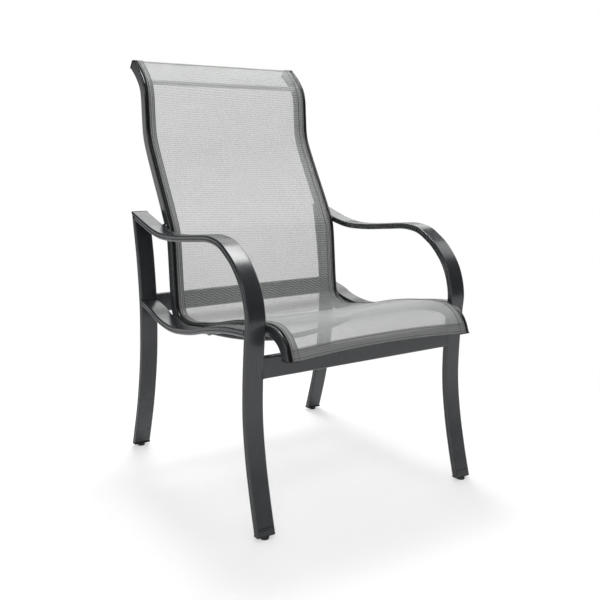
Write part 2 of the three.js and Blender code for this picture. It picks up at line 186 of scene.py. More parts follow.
class Station:
    def __init__(self, place, along, distance):
        self.place = place
        self.along = along.normalized()
        self.face = Vector((0, -self.along.z, self.along.y))
        self.distance = distance

    def frame(self):
        return standing(self.place * mm, (1, 0, 0), self.face, -self.along)


def stationsOf(path):
    made, distance = [], 0.0
    for i, place in enumerate(path):
        before, after = path[max(i - 1, 0)], path[min(i + 1, len(path) - 1)]
        made.append(Station(place, after - before, distance))
        distance += (after - place).length
    return made


def runPast(points):
    reach = routing["overrun"]
    first = points[0] + (points[0] - points[1]).normalized() * reach
    last = points[-1] + (points[-1] - points[-2]).normalized() * reach
    return [first, *points, last]


def routeThrough(points, past=True):
    path = evenPath(finePath(runPast(points) if past else points), routing["sample"])
    return stationsOf(evenPath(easedPath(path, routing["easing"]), routing["station"]))


def framePoint(share):
    y = frontFootY + share[0] * chair["footSpacing"]
    return sidePoint(y, chair["footRise"] + share[1] * chair["frameRise"])


def stationAtHeight(route, height):
    return min(route, key=lambda s: abs(s.place.z - height))


def stationAt(route, distance):
    gap = route[-1].distance / (len(route) - 1)
    i = max(0, min(len(route) - 2, int(distance / gap)))
    before, after = route[i], route[i + 1]
    share = (distance - before.distance) / (after.distance - before.distance)
    place = before.place.lerp(after.place, share)
    return Station(place, before.along.lerp(after.along, share), distance)


def distanceWhere(route, low, high, miss):
    tries = [low + (high - low) * i / routing["tries"] for i in range(routing["tries"] + 1)]
    return min(tries, key=lambda d: miss(stationAt(route, d)))


armPoints = [framePoint(share) for share in armShares]
rearLegPoints = [framePoint(share) for share in rearLegShares]
armRoute = routeThrough(armPoints)
rearLegRoute = routeThrough(rearLegPoints)
frontLegRoute = [s for s in armRoute if s.place.z < armPoints[legTop].z and s.place.y < armPoints[legBend].y]
seatFront = stationAtHeight(frontLegRoute, chair["seatFrontHeight"]).place
seatRear = stationAtHeight(rearLegRoute, chair["seatRearHeight"]).place


def seatPoint(share):
    point = seatFront.lerp(seatRear, share[0])
    point.z -= share[1] * chair["seatDip"]
    return point


def nosePoint(share):
    return sidePoint(seatFront.y - share[0] * chair["noseLength"], seatFront.z - share[1] * chair["noseDrop"])


def backPoint(share):
    heel = seatPoint(heelShares)
    height = heel.z - chair["heelDrop"] + share[1] * chair["backRise"]
    return sidePoint(heel.y + share[0] * chair["backReach"], height)


seatRoute = routeThrough([seatPoint(share) for share in seatShares], past=False)
railPoints = [nosePoint(share) for share in noseShares]
railPoints += [seatPoint(share) for share in slingSeatShares]
railPoints += [backPoint(share) for share in backShares]
railRoute = routeThrough(railPoints)
noseEnd, crownEnd = railPoints[0], railPoints[-1]
crownOut = (railPoints[-1] - railPoints[-2]).normalized()
print("routes laid,", len(armRoute) + len(rearLegRoute) + len(seatRoute) + len(railRoute), "stations")

# Finishes


def reckoning(operation, swapped=False):  # a method that adds one Math node
    def reckon(self, *others):
        values = (*others, self) if swapped else (self, *others)
        return self.owner.node("Math", {"operation": operation}, dict(enumerate(values)))

    return reckon


class Signal:  # a socket that can be reckoned with
    def __init__(self, owner, socket):
        self.owner = owner
        self.socket = socket

    __add__ = __radd__ = reckoning("ADD")
    __mul__ = __rmul__ = reckoning("MULTIPLY")
    __sub__ = reckoning("SUBTRACT")
    __rsub__ = reckoning("SUBTRACT", swapped=True)
    __truediv__ = reckoning("DIVIDE")
    __mod__ = reckoning("FLOORED_MODULO")
    __pow__ = reckoning("POWER")
    __abs__ = reckoning("ABSOLUTE")
    least = reckoning("MINIMUM")
    most = reckoning("MAXIMUM")
    floor = reckoning("FLOOR")
    sine = reckoning("SINE")

    def rise(self, low, high):  # 0 at low, 1 at high, smooth between
        sockets = {0: self, 1: low, 2: high, 3: 0.0, 4: 1.0}
        return self.owner.node("MapRange", {"interpolation_type": "SMOOTHSTEP"}, sockets)


class NodeTree:
    def __init__(self, tree):
        self.tree = tree

    def node(self, kind, settings=None, sockets=None, output=0):
        made = self.tree.nodes.new("ShaderNode" + kind)
        for setting, value in (settings or {}).items():
            setattr(made, setting, value)
        for name, value in (sockets or {}).items():
            self.feed(made.inputs[name], value)
        return Signal(self, made.outputs[output])

    def feed(self, socket, value):
        if isinstance(value, Signal):
            self.tree.links.new(value.socket, socket)
        else:
            socket.default_value = value

    def close(self, output, shader):
        self.feed(self.tree.nodes[output].inputs["Surface"], shader)


class Finish(NodeTree):
    def __init__(self, name, **constants):
        self.material = bpy.data.materials.new(name)
        self.material.use_nodes = True
        super().__init__(self.material.node_tree)
        self.surface = self.tree.nodes["Principled BSDF"]
        self.paint(**constants)

    def paint(self, **sockets):
        for name, value in sockets.items():
            self.feed(self.surface.inputs[name.replace("_", " ")], value)

    def objectPlace(self):
        return self.node("TexCoord", output="Object")

    def parts(self, place):
        return [self.node("SeparateXYZ", None, {0: place}, output=axis) for axis in ("X", "Y")]

    def uvParts(self, name):
        return self.parts(self.node("UVMap", {"uv_map": name}))

    def vector(self, x, y):
        return self.node("CombineXYZ", None, {0: x, 1: y})

    def noise(self, place, scale, detail=2.0, roughness=0.5):
        sockets = {"Vector": place, "Scale": scale, "Detail": detail, "Roughness": roughness}
        return self.node("TexNoise", None, sockets)

    def blend(self, factor, first, second):
        return self.node("Mix", {"data_type": "RGBA"}, {0: factor, 6: first, 7: second}, output=2)

    def ripple(self, distance, pitch):  # from 0 to 1 and back over each pitch in millimetres
        return (distance * (2 * pi / (pitch * mm))).sine() * 0.5 + 0.5

    def bump(self, height, distance, strength):
        return self.node("Bump", None, {"Height": height, "Distance": distance, "Strength": strength})


def grey(level, tint=(1.0, 1.0, 1.0)):
    return (level * tint[0], level * tint[1], level * tint[2], 1.0)


coat = {
    "dark": grey(0.016, (0.86, 1.0, 1.18)), "light": grey(0.023, (0.9, 1.0, 1.14)),
    "rubbed": grey(0.09, (0.97, 1.0, 1.03)), "cloudScale": 14.0, "grainSize": 1.1,
    "speckScale": 2600.0, "speckRise": (0.62, 0.72), "speckShare": 0.15, "roughness": 0.25,
    "cloudSpread": 0.08, "grainSpread": 0.05, "streakSpread": 0.09, "streakScales": (900.0, 9.0),
    "grainHeight": 0.35, "streakHeight": 0.3, "bump": (0.00004, 0.16),
}


def graphiteCoat(name, swept):
    finish = Finish(name, IOR=1.56)
    place = finish.objectPlace()
    cloud = finish.noise(place, coat["cloudScale"], 3.0)
    grain = finish.noise(place, 1 / (coat["grainSize"] * mm))
    speck = finish.noise(place, coat["speckScale"], 1.0).rise(*coat["speckRise"])
    colour = finish.blend(cloud, coat["dark"], coat["light"])
    colour = finish.blend(speck * coat["speckShare"], colour, coat["rubbed"])
    roughness = coat["roughness"] + (cloud - 0.5) * coat["cloudSpread"] + (grain - 0.5) * coat["grainSpread"]
    height = grain * coat["grainHeight"]
    if swept:
        around, along = (part * scale for part, scale in zip(finish.uvParts("Run"), coat["streakScales"]))
        streak = finish.noise(finish.vector(around, along), 1.0, 3.0)
        roughness = roughness + (streak - 0.5) * coat["streakSpread"]
        height = height + streak * coat["streakHeight"]
    finish.paint(Base_Color=colour, Roughness=roughness, Normal=finish.bump(height, *coat["bump"]))
    return finish.material


weave = {
    "pitch": 1.55,  # millimetres from yarn to yarn
    "warpShare": 0.18,  # of the pitch that a lengthwise yarn covers
    "weftShare": 0.17, "softEdge": 0.04, "warp": grey(0.63, (0.975, 1.0, 0.985)),
    "weft": grey(0.71, (0.98, 1.0, 0.985)), "shade": grey(0.45, (0.97, 1.0, 0.975)),
    "shadeShare": 0.5, "wanderShare": 0.4, "mottleRise": (0.3, 0.7), "wanderScales": (0.31, 0.05),
    "toneScale": 0.9, "roughness": (0.32, 0.12),
    "crossDrop": 0.4,  # how far a yarn dips where the other lies over it
    "bump": (0.00025, 0.7),
}
lines = {  # the pattern of fine lines that the mesh shows, pitches in millimetres, places in metres
    "dark": grey(0.22, (0.95, 1.0, 0.96)),
    "seatEnd": (0.45, 0.85),  # from the front edge
    "seatPitch": 8.0, "seatSlope": 0.5, "seatShare": 0.25, "backPitch": 6.4, "backSlope": 0.04,
    "backShare": 0.7, "columnPitch": 6.8, "columnShare": 0.22,
    "closed": 0.045,  # the yarns lie closer along a line
    "patchScale": 0.03, "patchRise": (0.25, 0.65), "patchShare": 0.12, "rise": (0.05, 0.32),
    "atFront": 0.18, "sideHem": (0.2325, 0.2345), "frontHem": (0.0225, 0.0245), "ribPitch": 5.2,
    "ribShadeShare": 0.95,
}
seating = {  # the yarns lie closer over the seat, and painted shade darkens the cloth toward the front edge
    "frontClosed": 0.11, "seatClosed": 0.19, "closedStart": (0.06, 0.17), "closedEnd": (0.26, 0.37),
    "frontPaintedShade": 0.48, "frontRise": (0.03, 0.18),
}


def meshLines(finish, across, along, u, v):  # how dark the lines are, and how far the yarns close
    seat = 1.0 - along.rise(*lines["seatEnd"])
    seatTwill = finish.ripple(across * lines["seatSlope"] + along, lines["seatPitch"])
    backTwill = finish.ripple(across * lines["backSlope"] + along, lines["backPitch"])
    twill = seatTwill * seat + backTwill * (1.0 - seat)
    column = finish.ripple(across, lines["columnPitch"])
    frontHem = 1.0 - along.rise(*lines["frontHem"])
    hemmed = abs(across).rise(*lines["sideHem"]).most(frontHem)
    # dark rib lines along the hems; their share also darkens the hem bands as painted shade
    ribs = finish.ripple(frontHem * along + (1.0 - frontHem) * abs(across), lines["ribPitch"])
    place = finish.vector(u * lines["patchScale"], v * lines["patchScale"])
    patch = finish.noise(place, 1.0).rise(*lines["patchRise"]) * lines["patchShare"] + (1 - lines["patchShare"])
    patch = patch * (1.0 - hemmed) * (along.rise(*lines["rise"]) * (1 - lines["atFront"]) + lines["atFront"])
    dark = (1.0 - twill) * (seat * lines["seatShare"] + lines["backShare"]) + column * lines["columnShare"]
    closing = along.rise(*seating["closedStart"]) * (seating["seatClosed"] - seating["frontClosed"])
    closing = (closing + seating["frontClosed"]) * (1.0 - along.rise(*seating["closedEnd"]))
    return dark * patch + ribs * hemmed * lines["ribShadeShare"], twill * patch * lines["closed"] + closing


def wovenMesh(name, closed=0.0, shift=0.0, lined=True, depth=1.0):
    finish = Finish(name, IOR=1.45)
    across, along = finish.uvParts("Cloth")
    pitch = weave["pitch"] * mm
    u, v = across / pitch + shift, along / pitch + shift
    if lined:
        dark, closed = meshLines(finish, across, along, u, v)
    toWarp = abs(u % 1.0 - 0.5) * 2
    toWeft = abs(v % 1.0 - 0.5) * 2
    warpReach, weftReach = closed + weave["warpShare"], closed + weave["weftShare"]
    soft = weave["softEdge"]
    warp = (warpReach - toWarp).rise(-soft, soft)
    weft = (weftReach - toWeft).rise(-soft, soft)
    parity = (u.floor() + v.floor()) % 2.0
    wander = finish.noise(finish.vector(u * weave["wanderScales"][0], v * weave["wanderScales"][1]), 1.0)
    tone = finish.noise(finish.vector(u * weave["toneScale"], v * weave["toneScale"]), 1.0, 1.0)
    colour = finish.blend(parity, weave["warp"], weave["weft"])
    mottle = tone * (1 - weave["wanderShare"]) + wander * weave["wanderShare"]
    shaded = mottle.rise(*weave["mottleRise"]) * weave["shadeShare"]
    colour = finish.blend(shaded, colour, weave["shade"])
    if lined:
        # painted shade: the cloth's colour is blended toward the dark line colour near the front edge
        front = (1.0 - along.rise(*seating["frontRise"])) * seating["frontPaintedShade"]
        colour = finish.blend(front, colour, lines["dark"])
        colour = finish.blend(dark, colour, lines["dark"])
    # painted shade: with depth under 1 the yarns are darkened toward black, standing in for the shade inside
    # the folded hems
    if depth < 1:
        colour = finish.blend(1.0 - depth, colour, grey(0.0))
    drop = weave["crossDrop"]
    roundWarp = 1.0 - (toWarp / warpReach).least(1.0) ** 2.0
    roundWeft = 1.0 - (toWeft / weftReach).least(1.0) ** 2.0
    height = (roundWarp * (parity * drop + (1 - drop))).most(roundWeft * (1.0 - parity * drop))
    finish.paint(
        Base_Color=colour,
        Roughness=weave["roughness"][0] + tone * weave["roughness"][1],
        Alpha=warp.most(weft),
        Normal=finish.bump(height, *weave["bump"]),
    )
    return finish.material


tape = {
    "pitches": (1.1, 0.8), "fuzzScale": 4000.0,
    "heights": (0.6, 0.3, 0.2),  # of the ribs, the wales and the fuzz
    "lightShare": 0.8, "roughness": (0.5, 0.2), "bump": (0.0002, 0.6),
}


def wovenTape(name, dark, light):
    finish = Finish(name)
    across, along = finish.uvParts("Cloth")
    rib, wale = finish.ripple(along, tape["pitches"][0]), finish.ripple(across, tape["pitches"][1])
    fuzz = finish.noise(finish.vector(across * tape["fuzzScale"], along * tape["fuzzScale"]), 1.0)
    height = rib * tape["heights"][0] + wale * tape["heights"][1] + fuzz * tape["heights"][2]
    # painted shade: the colour follows the weave's height, darker in the hollows between ribs and wales, with
    # the fuzz as random tone
    finish.paint(
        Base_Color=finish.blend(height * tape["lightShare"], dark, light),
        Roughness=tape["roughness"][0] + fuzz * tape["roughness"][1],
        Normal=finish.bump(height, *tape["bump"]),
    )
    return finish.material


plastic = {"scuffScale": 90.0, "scuffRise": (0.55, 0.8), "scuffShare": 0.5, "spread": 0.2, "bump": 0.00008}


def moulded(name, dark, light, roughness, grainSize, bump=0.5):
    finish = Finish(name, IOR=1.48)
    place = finish.objectPlace()
    grain = finish.noise(place, 1 / (grainSize * mm), 3.0, 0.6)
    scuff = finish.noise(place, plastic["scuffScale"], 4.0, 0.65).rise(*plastic["scuffRise"])
    finish.paint(
        Base_Color=finish.blend(scuff * plastic["scuffShare"], dark, light),
        Roughness=roughness + (grain - 0.5 + scuff) * (plastic["spread"] * roughness),
        Normal=finish.bump(grain, plastic["bump"], bump),
    )
    return finish.material


steel = {"fine": 1800.0, "coarse": 160.0, "roughness": 0.4, "spread": 0.2, "stain": 0.1, "bump": (0.00003, 0.4)}
paint = {"fine": 380.0, "coarse": 25.0, "roughness": 0.38, "spread": 0.15, "stain": 0.0, "bump": (0.00006, 0.5)}
thread = {"fine": 2200.0, "roughness": 0.625, "spread": 0.25, "stain": 0.0, "bump": (0.0001, 0.6)}


def grained(name, spec, dark, light, **constants):
    finish = Finish(name, **constants)
    place = finish.objectPlace()
    grain = finish.noise(place, spec["fine"])
    cloud = finish.noise(place, spec["coarse"], 3.0) if "coarse" in spec else grain
    finish.paint(
        Base_Color=finish.blend(cloud, dark, light),
        Roughness=spec["roughness"] + (grain - 0.5) * spec["spread"] + (cloud - 0.5) * spec["stain"],
        Normal=finish.bump(grain, *spec["bump"]),
    )
    return finish.material


finishes = {
    "coat": graphiteCoat("graphitePowderCoat", True),
    "coatPlain": graphiteCoat("graphitePowderCoatPlain", False),
    "mesh": wovenMesh("wovenSlingMesh"),
    # the hem's yarns are painted darker here, as shade, by depth 0.32
    "hem": wovenMesh("wovenHemMesh", 0.12, 0.5, lined=False, depth=0.32),
    "tape": wovenTape("blackHemTape", grey(0.004), grey(0.014)),
    "bead": moulded("glossyHemBead", grey(0.005), grey(0.012), 0.18, 12.0, 0.05),
    "rod": moulded("hemRodPlastic", grey(0.012), grey(0.03), 0.5, 0.8),
    "cap": moulded("blackCapPlastic", grey(0.006), grey(0.018), 0.42, 0.7),
    "glide": moulded("glidePlastic", grey(0.01), grey(0.035), 0.5, 0.5),
    "bolt": grained("blackenedBoltSteel", steel, grey(0.05), grey(0.1), Metallic=1.0),
    "bar": grained("paleBarPaint", paint, grey(0.62), grey(0.72, (1.0, 1.0, 0.99)), IOR=1.5),
    "thread": grained("hemThread", thread, grey(0.03, (0.96, 1.0, 0.98)), grey(0.09)),
}
print("finishes mixed,", len(finishes))

# Making pieces
shaping = {"cut": 1e-7, "merge": 1e-6, "slack": 1e-6, "wideRound": 2, "roundSteps": (3, 5)}


def meshOf(bm, name):
    mesh = bpy.data.meshes.new(name)
    bm.to_mesh(mesh)
    bm.free()
    return mesh


def finishPiece(bm, name, finish, slot, *replaces, sharpAngle=40.0, weighted=True):
    mesh = meshOf(bm, name)
    mesh.materials.append(finishes[finish])
    mesh.shade_smooth()
    mesh.set_sharp_from_angle(angle=radians(sharpAngle))
    piece = linked(name, mesh)
    if weighted:
        evening = piece.modifiers.new("evenShading", "WEIGHTED_NORMAL")
        evening.keep_sharp = True
    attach(piece, "root")
    if replaces:
        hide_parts(*replaces)
    return piece


def joinInto(target, source):
    mesh = meshOf(source, "joinedShape")
    target.from_mesh(mesh)
    bpy.data.meshes.remove(mesh)


def rounded(bm, geom, offset, affect, segments, clamp=False):
    bmesh.ops.bevel(
        bm,
        geom=geom,
        offset=offset,
        offset_type="OFFSET",
        affect=affect,
        segments=segments,
        profile=0.5,
        material=-1,
        clamp_overlap=clamp,
    )


def only(kind, geom):
    return [g for g in geom if isinstance(g, kind)]


def grow(bm, edges):  # one step of a sweep: the new verts, and the edges to grow from next
    made = bmesh.ops.extrude_edge_only(bm, edges=edges)["geom"]
    verts = set(only(BMVert, made))
    return verts, [edge for edge in only(BMEdge, made) if all(v in verts for v in edge.verts)]


class Section:  # the ring that a sweep starts from, with its spots in millimetres
    def __init__(self):
        self.bm = bmesh.new()
        self.spot = self.bm.verts.layers.float_vector.new("spot")
        self.around = self.bm.verts.layers.float.new("around")
        self.along = self.bm.verts.layers.float.new("along")

    def outline(self, points, roundings):
        corners = [self.bm.verts.new((x, y, 0)) for x, y in points]
        self.bm.faces.new(corners)
        pairs = list(zip(corners, roundings))
        for radius in sorted({r for r in roundings if r}, reverse=True):
            chosen = [v for v, r in pairs if r == radius]
            pairs = [(v, r) for v, r in pairs if r != radius]
            steps = shaping["roundSteps"][radius > shaping["wideRound"]]
            rounded(self.bm, chosen, radius, "VERTICES", steps, clamp=True)
        face = self.bm.faces[:][0]
        self.girth = 0.0
        for loop in face.loops:
            loop.vert[self.spot] = loop.vert.co.copy()
            loop.vert[self.around] = self.girth
            self.girth += loop.edge.calc_length()
        bmesh.ops.delete(self.bm, geom=[face], context="FACES_ONLY")
        return self.bm.edges[:]

    def sweep(self, edges, route, x=0.0, capped=False):
        self.lay(self.bm.verts[:], route[0], x)
        if capped:
            bmesh.ops.contextual_create(self.bm, geom=edges)
        for station in route[1:]:
            verts, edges = grow(self.bm, edges)
            self.lay(verts, station, x)
        if capped:
            bmesh.ops.contextual_create(self.bm, geom=edges)

    def lay(self, verts, station, x):
        turn = station.frame()
        for vert in verts:
            vert.co = turn @ ((vert[self.spot] + Vector((x, 0, 0))) * mm)
            vert[self.along] = station.distance * mm

    def unwrap(self, mapName):
        layer = self.bm.loops.layers.uv.new(mapName)
        for face in self.bm.faces:
            places = [loop.vert[self.around] for loop in face.loops]
            wraps = max(places) - min(places) > self.girth / 2
            for loop, place in zip(face.loops, places):
                if wraps and place < self.girth / 2:
                    place += self.girth
                loop[layer].uv = (place * mm, loop.vert[self.along])


def trim(bm, point, out):
    def isNear(vert):
        off = vert.co / mm - point
        return hypot(off.y, off.z) < routing["trimReach"]

    ends = {v for v in bm.verts if isNear(v)}
    around = [g for g in [*bm.edges, *bm.faces] if all(v in ends for v in g.verts)]
    plane = {"plane_co": point * mm, "plane_no": out, "dist": shaping["cut"]}
    cut = bmesh.ops.bisect_plane(bm, geom=[*ends, *around], clear_outer=True, **plane)
    bmesh.ops.contextual_create(bm, geom=only(BMEdge, cut["geom_cut"]))


def closeUp(bm):
    bmesh.ops.remove_doubles(bm, verts=bm.verts, dist=shaping["merge"])
    bmesh.ops.recalc_face_normals(bm, faces=bm.faces)
    return bm


def cutEnds(bm, cuts):
    for point, out in cuts:
        trim(bm, point, out)
    return closeUp(bm)


def netted(columns, rows, placeOf, mapName=None):  # a grid laid by placeOf(column, row), both from 0 to 1
    bm = bmesh.new()
    bmesh.ops.create_grid(bm, x_segments=columns, y_segments=rows, size=0.5)
    shares = {v: (v.co.x + 0.5, v.co.y + 0.5) for v in bm.verts}
    laid = {v: placeOf(*share) for v, share in shares.items()}
    for vert, (place, _) in laid.items():
        vert.co = place * mm
    if mapName:
        layer = bm.loops.layers.uv.new(mapName)
        for face in bm.faces:
            for loop in face.loops:
                loop[layer].uv = [part * mm for part in laid[loop.vert][1]]
    return bm


def pick(values, share):  # the value at a share of a list, straight between its entries
    spot = share * (len(values) - 1)
    i = min(int(spot + shaping["slack"]), len(values) - 2)
    return tuple(a + (b - a) * (spot - i) for a, b in zip(values[i], values[i + 1]))


# Frame tubes
tube = {
    "edge": 4.5,  # corner rounding
    "grooveWide": 4.6,  # along the middle of the narrow faces
    "grooveDeep": 1.6, "grooveSlant": 1.2, "grooveRound": 0.4,
}


def tubeOutline(wide):
    x, y = wide / 2, chair["tubeThick"] / 2
    edge, depth, slant = tube["grooveWide"] / 2, tube["grooveDeep"], tube["grooveSlant"]
    right = [(x, -y), (x, -edge), (x - depth, slant - edge), (x - depth, edge - slant), (x, edge), (x, y)]
    left = [(-px, -py) for px, py in right]
    rounds = [tube["edge"], *[tube["grooveRound"]] * 4, tube["edge"]] * 2
    return right + left, rounds


def frameTube(side, route, cuts):
    section = Section()
    section.sweep(section.outline(*tubeOutline(chair["tubeWide"])), route, side * legPlane)
    section.unwrap("Run")
    return cutEnds(section.bm, cuts)


def legFace(route, height, toward):
    station = stationAtHeight(route, height)
    reach = chair["tubeThick"] / 2 + chair["fitGap"]
    sign = 1 if station.face.y * toward > 0 else -1
    return station.place + station.face * reach * sign, station.face * sign


down = Vector((0, 0, -1))
alongArm = (armPoints[-1] - armPoints[-2]).normalized()
alongLeg = (rearLegPoints[-1] - rearLegPoints[-2]).normalized()
mitreOut = (alongArm - alongLeg).normalized()
mitreGap = mitreOut * chair["fitGap"] / 2
frontJoint = legFace(frontLegRoute, chair["seatFrontHeight"], 1)
rearJoint = legFace(rearLegRoute, chair["seatRearHeight"], -1)
armCuts = [(armPoints[0], down), (armPoints[-1] - mitreGap, mitreOut)]
rearLegCuts = [(rearLegPoints[0], down), (armPoints[-1] + mitreGap, -mitreOut)]
seatRailCuts = [(frontJoint[0], -frontJoint[1]), (rearJoint[0], -rearJoint[1])]
frameTubes = {  # each piece with its node, route and cuts
    "arm_and_front_leg_": ("arm_front_leg_", armRoute, armCuts),
    "back_leg_": ("rear_leg_", rearLegRoute, rearLegCuts),
    "seat_side_rail_": ("side_seat_rail_", seatRoute, seatRailCuts),
}
for side, hand in hands.items():
    for name, (node, route, cuts) in frameTubes.items():
        finishPiece(frameTube(side, route, cuts), name + hand, "coat", "frame", node + hand)
print("frame tubes bent")

# Crossbars
crossbar = {"tall": 50, "steps": 24, "runIn": 4.4}  # runIn: how far an end runs into the leg's rounded edge


class AcrossStation:  # a station of a straight run along X
    def __init__(self, middle, x):
        self.place = middle + Vector((x, 0, 0))
        self.distance = x

    def frame(self):
        return standing(self.place * mm, (0, 0, 1), (0, 1, 0), (-1, 0, 0))


def crossbarTube(node):
    low, high, middle = nodeBox(node)
    half = (high.x - low.x) / 2 + crossbar["runIn"]
    steps = crossbar["steps"]
    run = [AcrossStation(middle, half * (2 * i / steps - 1)) for i in range(steps + 1)]
    section = Section()
    section.sweep(section.outline(*tubeOutline(crossbar["tall"])), run, capped=True)
    section.unwrap("Run")
    return closeUp(section.bm)


crossbarNodes = {"front_stretcher": "front_crossbar", "rear_stretcher": "rear_crossbar"}
for name, node in crossbarNodes.items():
    finishPiece(crossbarTube(node), name, "coat", "frame", node)
print("crossbars set")

# Weld beads, each a rippled ring round the end of a tube
bead = {
    "radius": 1.3, "flushRadius": 0.9, "sinkShare": 0.35, "ripple": 0.12, "rippleGap": 2.2,
    "sides": 8, "cornerSteps": 6, "step": 1.1,
}


def beadRing(middle, across, up, wide, tall, radius):
    out = across.cross(up).normalized()
    corner, sink = tube["edge"], radius * bead["sinkShare"]
    straight = across * (wide / 2 - sink - corner), up * (tall / 2 - sink - corner)
    path = []
    for signs, start in (((1, 1), 0), ((-1, 1), 1), ((-1, -1), 2), ((1, -1), 3)):
        centre = middle + straight[0] * signs[0] + straight[1] * signs[1]
        for k in range(bead["cornerSteps"] + 1):
            angle = (start + k / bead["cornerSteps"]) * pi / 2
            path.append(centre + (across * cos(angle) + up * sin(angle)) * corner)
    path = evenPath([*path, path[0]], bead["step"])
    count = len(path) - 1

    def place(around, along):
        i = round(along * count)
        ahead = path[(i + 1) % count] - path[(i - 1) % count]
        side = out.cross(ahead.normalized())
        angle = 2 * pi * around
        ripple = 1 + bead["ripple"] * sin(2 * pi * i * bead["step"] / bead["rippleGap"])
        spot = path[i % count] + (side * cos(angle) + out * sin(angle)) * (radius * ripple)
        return spot, (0, 0)

    return netted(bead["sides"], count, place)


def planeSpan(out):  # the direction across a cut, square to X
    return Vector((0, -out.z, out.y))


def tubeEndBead(point, out, station, x, radius):
    up = planeSpan(out)
    tall = chair["tubeThick"] / abs(up.dot(station.face))
    return beadRing(point + Vector((x, 0, 0)), Vector((1, 0, 0)), up, chair["tubeWide"], tall, radius)


def weldBeads():
    bm = bmesh.new()
    inner = legPlane - chair["tubeWide"] / 2 - chair["fitGap"]
    for node in crossbarNodes.values():
        middle = nodeBox(node)[2]
        for side in hands:
            place = Vector((side * inner, middle.y, middle.z))
            span = chair["tubeThick"], crossbar["tall"]
            joinInto(bm, beadRing(place, Vector((0, 1, 0)), Vector((0, 0, 1)), *span, bead["radius"]))
    for side in hands:
        x = side * legPlane
        for point, out, station in ((*frontJoint, seatRoute[0]), (*rearJoint, seatRoute[-1])):
            joinInto(bm, tubeEndBead(point, out, station, x, bead["radius"]))
        joinInto(bm, tubeEndBead(armPoints[-1], mitreOut, armRoute[-1], x, bead["flushRadius"]))
    return closeUp(bm)


finishPiece(weldBeads(), "weld_beads", "coatPlain", "frame", sharpAngle=80)
print("welds laid")

# Sling rails
rail = {
    "lipReach": 1.0, "pocketOuter": 13.4, "pocketInner": 3.0, "pocketTop": 10.5, "pocketFloor": 1.9,
    "outerRound": 1.3, "innerRound": 1.6, "lipRound": 1.2,
}
rod = {"x": 8.7, "depth": 6.2, "radius": 2.4, "flat": 1.0, "sides": 12}
hemBead = {"x": 9.0, "depth": 11.2, "radius": 3.3, "flat": 0.42, "sides": 28}
railCuts = [(noseEnd, down), (crownEnd, crownOut)]


def railOutline(side):
    half, front = chair["railWide"] / 2, chair["railDeep"] / 2
    outer, inner = rail["pocketOuter"], rail["pocketInner"]
    lip, top, floor = outer - rail["lipReach"], rail["pocketTop"], rail["pocketFloor"]
    pocket = [(lip, front), (lip, top), (outer, top), (outer, floor), (inner, floor), (inner, front)]
    points = [(half, -front), (half, front), *pocket, (-half, front), (-half, -front)]
    slotRounds = [rail["lipRound"], 0, 0, 0, 0, rail["lipRound"]]
    roundings = [rail["outerRound"]] * 2 + slotRounds + [rail["innerRound"]] * 2
    return [(side * x, y) for x, y in points], roundings


def slingRailTube(side):
    section = Section()
    section.sweep(section.outline(*railOutline(side)), railRoute, side * railPlane)
    section.unwrap("Run")
    return cutEnds(section.bm, railCuts)


def slotRod(side, spec):  # round or flattened, along the rail's slot
    section = Section()
    made = bmesh.ops.create_circle(section.bm, segments=spec["sides"], radius=spec["radius"])
    for vert in made["verts"]:
        x, y = vert.co.x + side * spec["x"], vert.co.y * spec["flat"] + spec["depth"]
        vert[section.spot] = Vector((x, y, 0))
    section.sweep(section.bm.edges[:], railRoute, side * railPlane)
    return cutEnds(section.bm, railCuts)


for side, hand in hands.items():
    finishPiece(slingRailTube(side), "sling_side_rail_" + hand, "coat", "frame", "sling_rail_" + hand)
    finishPiece(slotRod(side, rod), "hem_rod_" + hand, "rod", "hem_rod", "spline_rod_" + hand)
print("sling rails bent")

# Sling cloth
cloth = {
    "depth": 13.7,  # the cloth's face over the rails' middle line
    "turnX": 252.9, "turnRound": 1.4, "turnDrop": 2.6,
    "turnedIn": 1.9,  # what each side adds to the flat sheet
    "shellGap": 0.15,  # between the shells that give the yarns their thickness
    "seatSag": 5.0, "backSag": 3.0,
    "frontBow": 9.0,  # how far the front edge's middle draws back
    "bowReach": 110.0, "heelEase": 60, "frontEase": 120, "topEase": (175, 15), "rowGap": 5.0,
    "edgeColumns": 12, "edgeGap": 1.75, "halfColumns": 20,
    "endReach": 80,  # how far from the rail's ends the cloth's ends are looked for
    "barReach": 300, "heelReach": 200,  # where the search for the bar starts, and for the seat's heel
}
hem = {
    "rows": (5.0, 17.5),  # stitch rows, in from the turned edge
    "insets": (2, 6, 10, 14, 18, 19),  # columns of the side hem
    "bulge": 0.35, "front": 24.0, "top": 8.0, "under": -0.75,
    "over": 0.35, "foldOut": 0.6, "foldShares": ((0.6, -0.6), (1, -0.2), (0.6, 0.2)),
    "tuck": (0.6, 0.05), "rowGap": 3.0, "setBack": 0.8, "loopRadius": 3.1, "loopSteps": 12,
    "tapeLift": 0.25, "tapeInset": 0.4,
}


def smooth(low, high, value):
    share = max(0.0, min(1.0, (value - low) / (high - low)))
    return share * share * (3 - 2 * share)


def fromBar(station):
    return (station.place - sidePoint(topBarMiddle.y, topBarMiddle.z)).length


lastDistance = railRoute[-1].distance
topBarMiddle = nodeBox("top_spreader_bar")[2]
clothStart = distanceWhere(
    railRoute, 0, cloth["endReach"], lambda s: abs((s.place + s.face * cloth["depth"]).z - noseEnd.z)
)
clothEnd = distanceWhere(
    railRoute, lastDistance - cloth["endReach"], lastDistance, lambda s: abs((s.place - crownEnd).dot(crownOut))
)
barReach = lastDistance - cloth["barReach"]
heelDistance = distanceWhere(
    railRoute, cloth["heelReach"], barReach, lambda s: (s.place - seatPoint(heelShares)).length
)
topBarDistance = distanceWhere(railRoute, barReach, lastDistance, fromBar)


